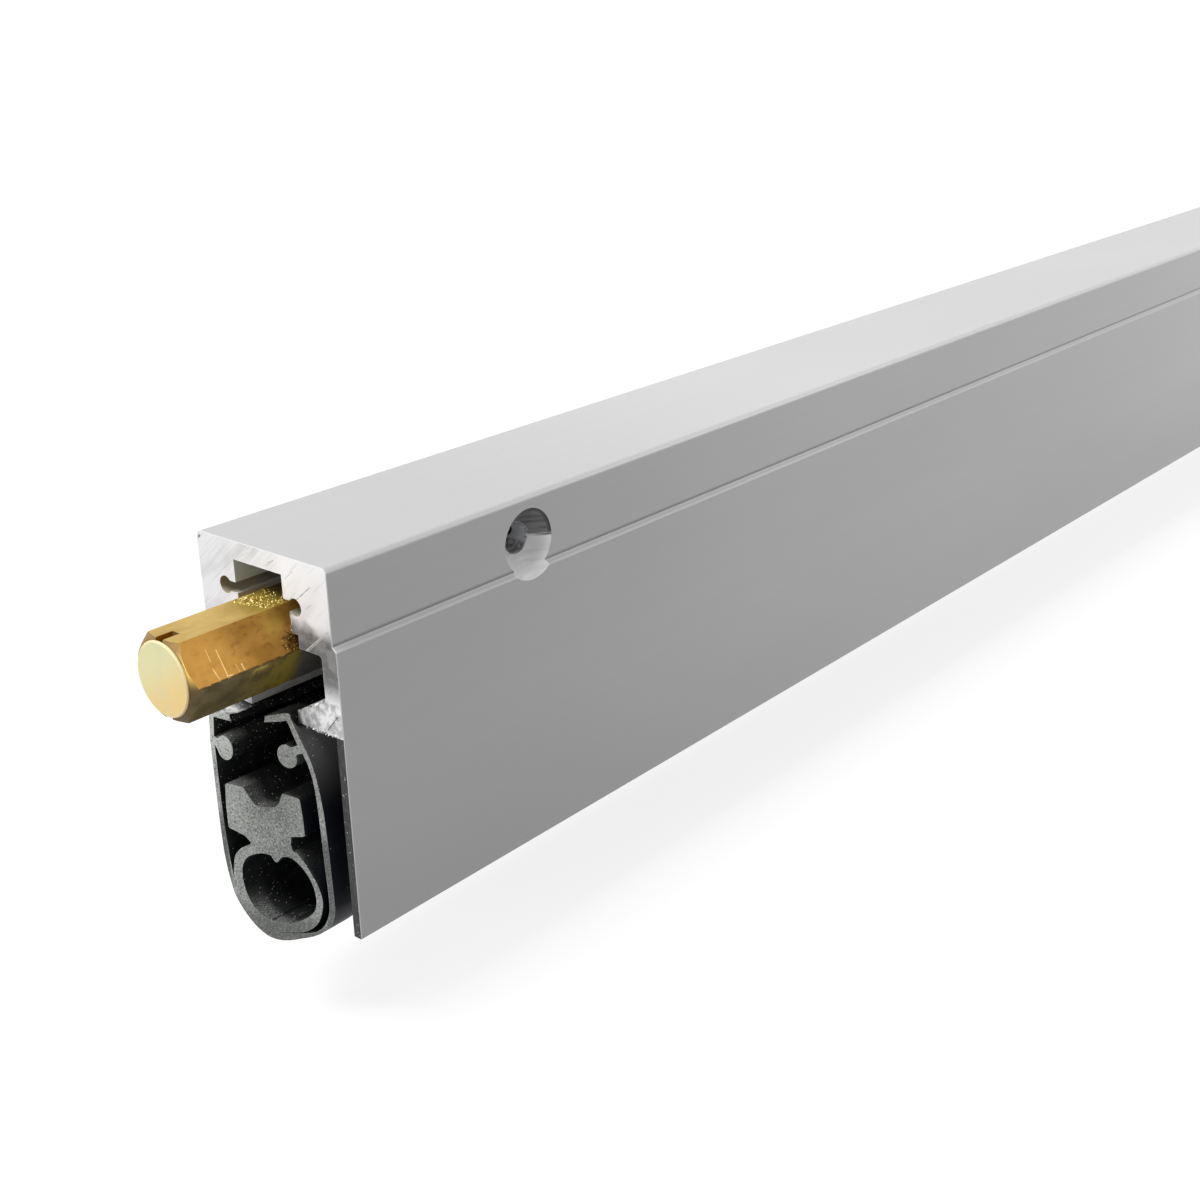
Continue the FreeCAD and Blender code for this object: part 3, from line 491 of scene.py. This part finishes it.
def rubber_skin():
    """Black extruded rubber with white dust on it, most of it beside the cut, and painted light and shade on its
    outer face.
    """
    s = Shader("rubber_skin", Roughness=0.50, Specular_IOR_Level=0.30)
    colour = s.mix(s.ramp(s.noise(0.8, 4), 0.35, 0.7), grey(0.005, (0.8, 0.95, 1.2)),
                   grey(0.016, (0.95, 1.0, 1.0)))
    # Painted light and shade on the outer face: grey at the top, falling to blue black lower down
    outer = s.product(s.ramp(s.facing("Y"), -0.3, -0.6), s.ramp(s.y, -13.3, -13.8))
    skirt_light_and_shade = s.mix(s.ramp(s.z, -13.0, -21.0), grey(0.17), grey(0.004, (0.8, 1.0, 2.2)))
    colour = s.mix(outer, colour, skirt_light_and_shade)
    # Beside the cut the faces that look up are mealy, and the back flange is chalky
    up = s.ramp(s.facing("Z"), 0.15, 0.8)
    mealy = s.ramp(s.noise(8.0, 3), 0.38, 0.70)
    beside = s.product(up, s.ramp(s.x, -302.0, -306.5), mealy, 0.6)
    colour = s.mix(beside, colour, grey(0.085, (0.95, 1.0, 0.94)))
    shelf = s.product(up, s.ramp(s.x, -305.6, -306.8))
    colour = s.mix(s.product(shelf, 0.7), colour, s.mix(mealy, grey(0.10), grey(0.42, DUST)))
    flange = s.product(shelf, s.ramp(s.z, -12.9, -12.5), s.ramp(s.y, -7.0, -6.0))
    chalky = s.mix(s.ramp(s.noise(1.6, 4), 0.38, 0.6), grey(0.22), grey(0.80))
    colour = s.mix(flange, colour, chalky)
    film = s.product(s.ramp(s.noise(0.45, 4), 0.45, 0.75), s.ramp(s.noise(5, 3), 0.45, 0.7), 0.35)
    colour = s.mix(film, colour, grey(0.12, (0.94, 1.0, 0.96)))
    # Specks of dust: more towards the cut and the top, few on the outer face
    share = s.blend(s.ramp(s.x, -292.0, -303.0), 0.04, 0.20)
    share = s.product(share, s.ramp(s.noise(0.5, 2), 0.35, 0.65, 0.4, 1.8))
    share = s.plus(share, s.product(s.ramp(s.z, -19.0, -13.0), 0.45))
    share = s.product(share, s.without(s.product(outer, 0.9)))
    dust = s.math("MAXIMUM", s.specks(3.2, 0.25, share), s.specks(1.3, 0.12, share))
    s.set("Base Color", s.mix(dust, colour, grey(0.72, CHALK)))
    s.bump(s.plus(s.noise(4, 3), s.product(dust, 1.5)), 0.012)
    return s.material


def rubber_cut():
    """Sawn rubber, grey with chalk and grit, with a pale rim along its edges."""
    s = Shader("rubber_cut", Roughness=0.80, Specular_IOR_Level=0.3)
    colour = s.mix(s.ramp(s.noise(0.28, 3), 0.35, 0.65), grey(0.26, (0.95, 1.0, 0.94)),
                   grey(0.36, CHALK))
    # Darker in the bulb, paler in the beads, the head's flanks, the back flange and its bead
    bulb = s.ramp(s.z, -32.0, -35.5)
    colour = s.mix(s.product(bulb, 0.8), colour, grey(0.11, (0.95, 1.0, 0.93)))
    beads = s.product(s.ramp(s.z, -18.8, -17.6), 0.6)
    flanks = s.product(s.near(s.z, -22.0, 3.0, 1.5),
                       s.ramp(s.size(s.minus(s.y, MIDDLE_Y)), 1.5, 3.5), 0.4)
    colour = s.mix(s.math("MAXIMUM", beads, flanks), colour, grey(0.48, CHALK))
    flange = s.product(s.ramp(s.z, -18.5, -15.0), s.ramp(s.y, -10.0, -7.0))
    colour = s.mix(flange, colour, grey(0.62, DUST))
    # Dark in the lower half of the skirt
    skirt = s.size(s.minus(s.y, MIDDLE_Y - 0.35))
    skirt = s.product(s.ramp(skirt, 5.55, 5.75), s.ramp(s.z, -22.0, -25.0))
    colour = s.mix(skirt, colour, grey(0.14, (0.96, 1.0, 1.0)))
    grit = s.noise(5.0, 5)
    chalk = s.blend(s.math("MAXIMUM", bulb, skirt), 0.65, 0.24)
    colour = s.mix(s.product(s.ramp(grit, 0.50, 0.68), chalk), colour, grey(0.66, CHALK))
    pits = s.product(s.ramp(grit, 0.47, 0.36), s.blend(bulb, 0.7, 0.45))
    colour = s.mix(pits, colour, grey(0.09))
    s.set("Base Color", s.mix(s.product(s.edge(0.10), 0.55), colour, grey(0.72, DUST)))
    marks = s.noise(2.4, 3, stretch=(0, 1, 0.15), turn=SAW_TURN)
    s.bump(s.plus(grit, marks), 0.02)
    return s.material


def plated(name, light, dark, roughness):
    """Plated or drawn steel."""
    s = Shader(name, Metallic=0.9)
    s.set("Base Color", s.mix(s.ramp(s.noise(0.6, 4), 0.35, 0.7), light, dark))
    s.set("Roughness", s.blend(s.noise(2.0, 3), roughness, roughness + 0.15))
    s.bump(s.noise(5.0, 3, stretch=(0.2, 1, 1)), 0.006)
    return s.material


def black_nylon():
    """Moulded, with a fine grain."""
    s = Shader("black_nylon", Roughness=0.5)
    s.set("Base Color", s.mix(s.noise(0.5, 3), grey(0.022), grey(0.04)))
    s.bump(s.noise(3.0, 4), 0.015)
    return s.material


def mill_aluminium():
    """Extruded, with lines along it."""
    s = Shader("mill_aluminium", Metallic=0.8)
    lines = s.noise(2.0, 3, stretch=(0.01, 1, 1))
    s.set("Base Color", s.mix(s.ramp(lines, 0.3, 0.7), grey(0.58), grey(0.72)))
    s.set("Roughness", s.blend(lines, 0.32, 0.48))
    s.bump(lines, 0.01)
    return s.material


MATERIALS = {
    "anodised_aluminium": anodised(),
    "brass": brass(),
    "cream_nylon": cream_nylon(),
    "black_nylon": black_nylon(),
    "mill_aluminium": mill_aluminium(),
    "zinc_steel": plated("zinc_steel", (0.62, 0.63, 0.65, 1), (0.50, 0.51, 0.52, 1), 0.28),
    "spring_steel": plated("spring_steel", (0.42, 0.42, 0.43, 1), (0.30, 0.30, 0.31, 1), 0.30),
    "black_rubber": rubber_skin(),
}

for part in frame["record"]["subparts"]:
    obj = frame["nodes"][part["node"]]
    obj.data.materials.clear()
    obj.data.materials.append(MATERIALS[part["material_slot"]])


def add_piece(name, data, materials, body):
    """A piece of the part that the CAD doesn't have."""
    for material in materials:
        data.materials.append(material)
    piece = bpy.data.objects.new(name, data)
    bpy.context.scene.collection.objects.link(piece)
    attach(piece, body)
    return piece


# Rubber seal: one section, sprung out of shape at its free end, drawn along the housing

# Each row is a point of the outline: (u, d) at the saw cut, (u, d) where the drop bar holds it,
# and for some rows (u, d) in the mouth of the housing. A row that starts with True is a corner.
OUTLINE = [
    (True, 3.25, 17.00, 3.40, 17.40, 3.25, 17.25),
    (False, 5.40, 16.92, 6.15, 17.40, 5.40, 17.22),
    (False, 5.65, 17.05, 6.40, 17.65, 5.65, 17.40),
    (False, 5.80, 18.75, 6.40, 18.75),
    (False, 5.92, 20.25, 6.40, 20.25),
    (False, 5.88, 33.00, 6.40, 33.00),
    (False, 5.30, 37.10, 6.18, 37.26),
    (False, 4.72, 38.65, 5.54, 38.80),
    (False, 3.80, 40.05, 4.53, 40.13),
    (False, 2.75, 41.15, 3.20, 41.14),
    (False, 1.55, 41.85, 1.66, 41.78),
    (False, 0.30, 42.00, 0.00, 42.00),
    (False, -1.10, 41.72, -1.66, 41.78),
    (False, -2.60, 41.10, -3.20, 41.14),
    (False, -4.20, 40.40, -4.53, 40.13),
    (False, -5.70, 39.35, -5.54, 38.80),
    (False, -6.65, 38.10, -6.18, 37.26),
    (False, -7.05, 36.40, -6.40, 35.60),
    (False, -7.03, 34.50, -6.40, 33.80),
    (False, -6.78, 26.00, -6.40, 26.00),
    (False, -6.25, 21.80, -6.40, 21.80),
    (False, -5.78, 20.10, -6.40, 20.10),
    (False, -5.15, 18.70, -6.40, 18.90, -5.15, 18.55),
    (False, -4.50, 17.25, -6.40, 18.20, -4.25, 17.45),
    (False, -4.02, 16.10, -6.40, 17.65, -3.45, 17.05),
    (False, -3.80, 15.55, -6.15, 17.40, -3.38, 16.05),
    (False, -2.40, 15.95, -4.80, 17.40, -2.20, 16.15),
    (True, -1.05, 16.35, -3.40, 17.40),
    (True, -0.88, 17.05, -3.40, 18.20),
    (False, -2.30, 16.72, -4.70, 18.20, -2.10, 16.85),
    (True, -3.55, 16.38, -5.90, 18.20, -2.95, 16.85),
    (True, -4.50, 18.82, -5.90, 19.85),
    "front bead",
    (True, -5.00, 19.60, -5.90, 20.45),
    (False, -5.50, 20.80, -5.90, 21.20),
    (False, -6.02, 23.40, -5.90, 23.40),
    (False, -6.30, 31.60, -5.90, 31.60),
    (False, -6.42, 36.20, -5.90, 35.60),
    (False, -6.10, 37.75, -5.70, 37.13),
    (False, -5.25, 39.20, -5.11, 38.55),
    (False, -3.90, 40.10, -4.17, 39.77),
    (False, -0.60, 40.98, -3.72, 40.19),
    (True, 0.95, 41.22, -3.58, 40.29),
    (False, -2.40, 40.42, -3.95, 39.91),
    (False, -3.60, 39.85, -4.15, 39.66),
    (False, -4.60, 39.00, -4.55, 39.07),
    (False, -5.30, 37.70, -5.07, 37.80),
    (False, -5.64, 36.20, -5.25, 36.45),
    (False, -5.50, 35.00, -5.15, 35.40),
    (False, -5.05, 33.80, -4.80, 34.30),
    (False, -3.70, 31.65, -3.50, 32.54),
    (False, -3.10, 31.10, -2.90, 32.07),
    (True, -2.68, 30.93, -2.55, 31.86),
    (False, -2.48, 30.20, -2.55, 30.60),
    (True, -2.66, 29.30, -2.55, 29.50),
    (False, -4.00, 28.98, -4.30, 29.50),
    (False, -4.28, 28.70, -4.55, 29.25),
    (False, -4.12, 25.10, -4.55, 25.70),
    (False, -3.92, 24.74, -3.75, 24.90),
    (True, -2.15, 24.60, -2.35, 24.90),
    (False, -1.95, 24.88, -2.20, 25.10),
    (False, -1.65, 25.65, -1.75, 25.70),
    (False, -1.20, 26.20, -1.20, 26.40),
    (False, -0.50, 26.48, -0.70, 26.90),
    (False, 1.15, 26.66, 0.80, 26.90),
    (False, 1.65, 26.25, 1.20, 26.40),
    (True, 2.56, 24.90, 2.35, 24.90),
    (False, 4.50, 24.88, 3.75, 24.90),
    (False, 4.74, 25.15, 4.55, 25.70),
    (False, 4.93, 29.85, 4.45, 29.45),
    (False, 4.40, 30.10, 4.00, 29.50),
    (True, 3.25, 30.42, 3.00, 29.50),
    (False, 2.95, 30.52, 2.60, 29.60),
    (True, 2.38, 31.08, 2.55, 31.86),
    (False, 2.48, 31.38, 2.62, 31.90),
    (False, 3.65, 32.05, 3.60, 32.63),
    (False, 4.52, 33.15, 4.80, 34.30),
    (False, 4.88, 34.70, 5.22, 36.90),
    (False, 4.95, 35.30, 4.75, 38.70),
    (True, 4.98, 35.80, 3.58, 40.29),
    (False, 5.15, 34.50, 5.11, 38.55),
    (False, 5.30, 32.25, 5.90, 35.60),
    (False, 5.45, 29.00, 5.90, 29.00),
    (True, 5.44, 20.75, 5.90, 20.45),
    "back bead",
    (True, 5.40, 19.83, 5.90, 19.85),
    (True, 5.17, 17.62, 5.90, 18.20, 5.17, 17.95),
    (True, 3.12, 17.72, 3.40, 18.20, 3.12, 17.95),
]
# Each bead's round is (middle), (radii), first and last angle, at the cut and where it is held
BEADS = {
    "front bead": (((-3.15, 20.28), (1.13, 1.26), 240, 556),
                   ((-4.60, 20.50), (1.15, 1.15), 214, 538)),
    "back bead": (((4.25, 20.85), (0.95, 1.34), 12, 318),
                  ((4.60, 20.50), (1.15, 1.15), 3, 325)),
}
BEAD_STEPS = 12
# The bulb's hollow, in the same way as the outline
HOLLOW = [
    (False, -0.50, 32.72, 0.00, 33.05),
    (True, 0.08, 32.06, 0.50, 32.20),
    (False, 0.60, 32.00, 0.90, 32.25),
    (False, 1.50, 32.15, 1.60, 32.46),
    (False, 2.95, 32.90, 3.00, 33.37),
    (False, 3.72, 34.10, 3.90, 34.63),
    (False, 3.88, 35.70, 4.30, 36.45),
    (False, 3.60, 37.30, 3.90, 38.26),
    (False, 2.85, 38.75, 3.00, 39.53),
    (False, 1.80, 39.58, 1.80, 40.35),
    (True, 1.02, 39.86, 0.95, 40.60),
    (False, 0.88, 39.66, 0.72, 40.35),
    (True, 0.72, 39.88, 0.50, 40.70),
    (False, -0.20, 39.88, -0.40, 40.74),
    (True, -1.05, 39.80, -1.20, 40.57),
    (False, -1.20, 39.58, -1.40, 40.32),
    (True, -1.36, 39.72, -1.60, 40.45),
    (False, -2.10, 39.42, -2.30, 40.10),
    (False, -3.55, 38.40, -3.50, 38.95),
    (False, -4.60, 37.30, -4.15, 37.60),
    (False, -4.90, 35.80, -4.30, 36.30),
    (False, -4.56, 34.10, -3.95, 34.75),
    (False, -3.60, 32.60, -3.00, 33.37),
    (False, -2.50, 31.83, -1.80, 32.55),
    (False, -1.90, 31.75, -1.20, 32.32),
    (False, -1.40, 31.87, -0.80, 32.22),
    (True, -1.12, 32.05, -0.50, 32.20),
]
CURVE_TURN = 10         # a curve has a point at least every so many degrees
CURVE_RUN = 3.0         # and every so many millimetres
SHARP = math.radians(38)    # edges that turn by more than this stay sharp

CUT_STANDS_OUT = 2.3    # of the housing's end, in the middle plane
CUT_SLANT = 0.25        # and so much more for each millimetre towards the back
# The rest is measured along the seal, from the cut
SEAL_STATIONS = (0, 0.35, 0.7, 1.1, 1.6, 2.2, 3, 3.8, 4.6, 5.4, 6.2, 7, 8, 9, 10, 11, 12, 13,
                 16, 160, 609)
CUT_TO = 16             # where the sections are square again
MOUTH_BY = 1.1          # where the mouth's shape is reached
DOWN = (2.6, 6.6)       # the flanges sink between these
OUT = (6.6, 12.5)       # and the skirt spreads between these


def bead_rows(name):
    """The round of a bead, as rows of the outline."""
    rows = []
    for i in range(BEAD_STEPS + 1):
        share = i / BEAD_STEPS
        row = [False]
        for (u, d), (wide, high), first, last in BEADS[name]:
            angle = math.radians(first + (last - first) * share)
            row += [u + wide * math.cos(angle), d + high * math.sin(angle)]
        rows.append(row)
    return rows


def columns(rows, column):
    """The places in two columns of the rows, or in the first two where a row has none."""
    return [Vector(row[column:column + 2] if len(row) > column else row[1:3]) for row in rows]


def slopes(points, corners, i):
    """The way from point i to the next one, and the directions of a smooth line at both."""
    count = len(points)
    run = points[(i + 1) % count] - points[i]
    found = []
    for k in (i, (i + 1) % count):
        before, here, after = points[k - 1], points[k], points[(k + 1) % count]
        if corners[k]:
            found.append(run.normalized())
        else:
            length = (after - here).length + (here - before).length
            found.append((after - before) / max(length, 1e-6))
    return run, found[0], found[1]


def curve(rows, column):
    """Points on a smooth line through two columns of the rows, with the corners kept."""
    corners = [row[0] for row in rows]
    points = columns(rows, column)
    line = []
    for i in range(len(rows)):
        # As many steps as the cut's section or the held one needs, so that all have the same
        steps = 1
        for other in (1, 3):
            run, start, end = slopes(columns(rows, other), corners, i)
            turn = math.degrees(start.angle(end, 0.0)) if start.length and end.length else 0.0
            steps = max(steps, math.ceil(turn / CURVE_TURN), math.ceil(run.length / CURVE_RUN))
        run, start, end = slopes(points, corners, i)
        a, b = points[i], points[(i + 1) % len(rows)]
        for k in range(steps):
            t = k / steps
            line.append((2 * t ** 3 - 3 * t ** 2 + 1) * a
                        + (t ** 3 - 2 * t ** 2 + t) * start * run.length
                        + (3 * t ** 2 - 2 * t ** 3) * b + (t ** 3 - t ** 2) * end * run.length)
    return line


def ease(value, low, high):
    """0 below low, 1 above high, smooth between."""
    t = min(1.0, max(0.0, (value - low) / (high - low)))
    return t * t * (3 - 2 * t)


def seal_ring(shapes, behind):
    """The outline so many millimetres behind the saw cut, as places in metres."""
    ring = []
    for cut, held, mouth in zip(*shapes):
        free = cut.lerp(mouth, ease(behind, 0, MOUTH_BY))
        u = free.x + (held.x - free.x) * ease(behind, *OUT)
        d = free.y + (held.y - free.y) * ease(behind, *DOWN)
        stands = (CUT_STANDS_OUT + CUT_SLANT * u) * (1 - ease(behind, 0, CUT_TO))
        ring.append(at(behind - stands, u, d))
    return ring


def face_outwards(data):
    """Turns all faces of a mesh to its outside."""
    mesh = bmesh.new()
    mesh.from_mesh(data)
    bmesh.ops.recalc_face_normals(mesh, faces=mesh.faces)
    mesh.to_mesh(data)
    mesh.free()


def add_seal():
    rows = []
    for row in OUTLINE:
        rows += bead_rows(row) if isinstance(row, str) else [row]
    loops = [tuple(curve(part, column) for column in (1, 3, 5)) for part in (rows, HOLLOW)]
    points = []
    faces = []
    for shapes in loops:
        count = len(shapes[0])
        base = len(points)
        for behind in SEAL_STATIONS:
            points += seal_ring(shapes, behind)
        for k in range(len(SEAL_STATIONS) - 1):
            for i in range(count):
                a = base + k * count + i
                b = base + k * count + (i + 1) % count
                faces.append((a, a + count, b + count, b))
    sides = len(faces)
    # The two ends: the outline with the hollow as a hole in it
    outer, inner = (len(shapes[0]) for shapes in loops)
    hollow = outer * len(SEAL_STATIONS)
    for station in (0, len(SEAL_STATIONS) - 1):
        ids = [station * outer + i for i in range(outer)]
        ids += [hollow + station * inner + i for i in range(inner)]
        flat = [Vector((points[i].y, points[i].z, 0)) for i in ids]
        for face in geometry.tessellate_polygon([flat[:outer], flat[outer:]]):
            faces.append(tuple(ids[i] for i in face))
    data = bpy.data.meshes.new("rubber_seal")
    data.from_pydata(points, [], faces)
    data.validate()
    data.update()
    seal = add_piece("rubber_seal", data, [MATERIALS["black_rubber"], rubber_cut()], "seal_bar")
    for polygon in data.polygons:
        is_end = polygon.index >= sides
        polygon.material_index = int(is_end)
        polygon.use_smooth = not is_end
    face_outwards(data)
    data.set_sharp_from_angle(angle=SHARP)
    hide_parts("seal")


add_seal()


# Swarf and burrs left by the saw


def gold_swarf():
    """Bright grains of brass."""
    s = Shader("gold_swarf", Metallic=0.6, Roughness=0.3)
    shine = s.ramp(s.noise(4.0, 2), 0.42, 0.58)
    s.set("Base Color", s.mix(shine, (0.38, 0.25, 0.03, 1), (1.0, 0.84, 0.36, 1)))
    s.bump(s.noise(9.0, 2), 0.02)
    return s.material


def bright_burr():
    """Torn aluminium."""
    s = Shader("bright_burr", Metallic=0.2, Roughness=0.5)
    s.set("Base Color", s.mix(s.ramp(s.noise(3.0, 3), 0.42, 0.58), grey(0.30), grey(0.95)))
    s.bump(s.noise(8.0, 2), 0.02)
    return s.material


def add_chips(name, spots, material, body):
    """Small ragged chips, one at each spot of (place, size)."""
    mesh = bmesh.new()
    for place, size in spots:
        turn = Matrix.Rotation(random.uniform(0, math.tau), 4, Vector(noise.random_unit_vector()))
        flat = Matrix.Diagonal((1, random.uniform(0.5, 1.0), random.uniform(0.3, 0.6), 1))
        made = bmesh.ops.create_icosphere(mesh, subdivisions=1, radius=size / 2 * MM,
                                          matrix=Matrix.Translation(place) @ turn @ flat)
        for vertex in made["verts"]:
            vertex.co = place + (vertex.co - place) * random.uniform(0.6, 1.35)
    data = bpy.data.meshes.new(name)
    mesh.to_mesh(data)
    mesh.free()
    add_piece(name, data, [material], body)


def add_swarf():
    """Loose brass on the plunger, most of it on its top at the saw cut."""
    spots = []
    for _ in range(290):
        u = random.uniform(-2.2, 2.1)
        edge = -2.4 + 0.25 * (2.1 - u)      # of the heap, outside the housing
        x = min(edge + abs(random.gauss(0, 2.1)), 5.0)
        spots.append((at(x, u, BAR_TOP - 0.02), random.uniform(0.10, 0.30)))
    # A few on the upper front facet
    for _ in range(26):
        down = random.uniform(0.5, 0.98)
        x = random.uniform(-1.5, 0.4)
        spots.append((at(x, -BAR_FACET * (1 + down), BAR_TOP + BAR_HALF * down),
                      random.uniform(0.08, 0.18)))
    add_chips("brass_swarf", spots, gold_swarf(), "plunger")


def add_burrs():
    """Torn aluminium on the sawn end and in the first fixing hole."""
    spots = []
    # Under the ledge
    for _ in range(34):
        u = random.uniform(-9.0, -4.9)
        x = random.uniform(-0.12, 0.02)
        spots.append((at(x, u, 17.08 + random.uniform(-0.10, 0.12)), random.uniform(0.12, 0.36)))
    # On the ledge's slope
    for _ in range(30):
        along = random.random()
        x = random.uniform(-0.12, 0.0)
        d = 13.6 + 2.1 * along + random.uniform(-0.1, 0.1)
        spots.append((at(x, -7.8 + 3.9 * along, d), random.uniform(0.10, 0.34)))
    # Beside the plunger
    for _ in range(22):
        x = random.uniform(-0.10, 0.0)
        u = -3.95 + random.uniform(-0.12, 0.04)
        spots.append((at(x, u, random.uniform(5.5, 7.4)), random.uniform(0.08, 0.24)))
    # Where the countersink meets the hole
    for _ in range(20):
        a = math.radians(random.uniform(-15, 55))
        u = -7.66 + random.uniform(-0.15, 0.3)
        spots.append((at(HOLE_INSET + 1.70 * math.cos(a), u, TOP_Z - 1.70 * math.sin(a)),
                      random.uniform(0.14, 0.42)))
    # Along the front wall
    for _ in range(14):
        x = random.uniform(-0.08, 0.02)
        u = -9.45 + random.uniform(-0.35, 0.35)
        spots.append((at(x, u, random.uniform(17.5, 38.5)), random.uniform(0.07, 0.16)))
    add_chips("saw_burrs", spots, bright_burr(), "housing")


random.seed(11)
noise.seed_set(11)
add_swarf()
add_burrs()


# Floor, lights and world, in metres

FLOOR_HALF = 6.0
GLOW = (0.3, 0.9, 0.82, 1.0)    # the floor's glow: from one distance to the other, and how strong


def add_floor():
    """A floor that looks white, darkened only by the part's shadow."""
    z = FLOOR_Z * MM
    corners = [(FLOOR_HALF * a, FLOOR_HALF * b, z) for a, b in ((-1, -1), (1, -1), (1, 1), (-1, 1))]
    data = bpy.data.meshes.new("floor")
    data.from_pydata(corners, [], [(0, 1, 2, 3)])
    floor = bpy.data.objects.new("floor", data)
    bpy.context.scene.collection.objects.link(floor)
    s = Shader("floor", Base_Color=(0.25, 0.25, 0.252, 1), Roughness=0.9,
               Specular_IOR_Level=0.1, Emission_Color=(1, 1, 1, 1))
    far = s.node("VectorMath", {0: s.place}, operation="LENGTH").outputs["Value"]
    glow = s.node("MapRange", enumerate((far, *GLOW))).outputs[0]
    s.set("Emission Strength", s.product(s.seen(1.0, 0.0), glow))
    data.materials.append(s.material)


def add_world():
    """White where it is seen, and dim as a light."""
    world = bpy.data.worlds.new("studio")
    bpy.context.scene.world = world
    world.use_nodes = True
    background = world.node_tree.nodes["Background"]
    background.inputs["Color"].default_value = (1, 1, 1, 1)
    nodes = Nodes(world.node_tree)
    nodes.feed(background.inputs["Strength"], nodes.seen(1.0, 0.17))


def add_light(name, place, target, size, power):
    data = bpy.data.lights.new(name, "AREA")
    data.shape = "DISK"
    data.size = size
    data.energy = power
    light = bpy.data.objects.new(name, data)
    light.location = place
    aim = Vector(target) - Vector(place)
    light.rotation_euler = aim.to_track_quat("-Z", "Y").to_euler()
    bpy.context.scene.collection.objects.link(light)


add_floor()
add_world()
add_light("key", (-0.85, 0.22, 1.4), (-0.1, 0, 0), 0.9, 22)
add_light("end", (-1.3, -0.06, 0.28), (-0.3, 0, 0), 0.3, 3.6)
add_light("fill", (0.18, -0.40, 0.17), (-0.05, 0, 0), 0.3, 1.0)

bpy.context.scene.view_settings.view_transform = "Standard"
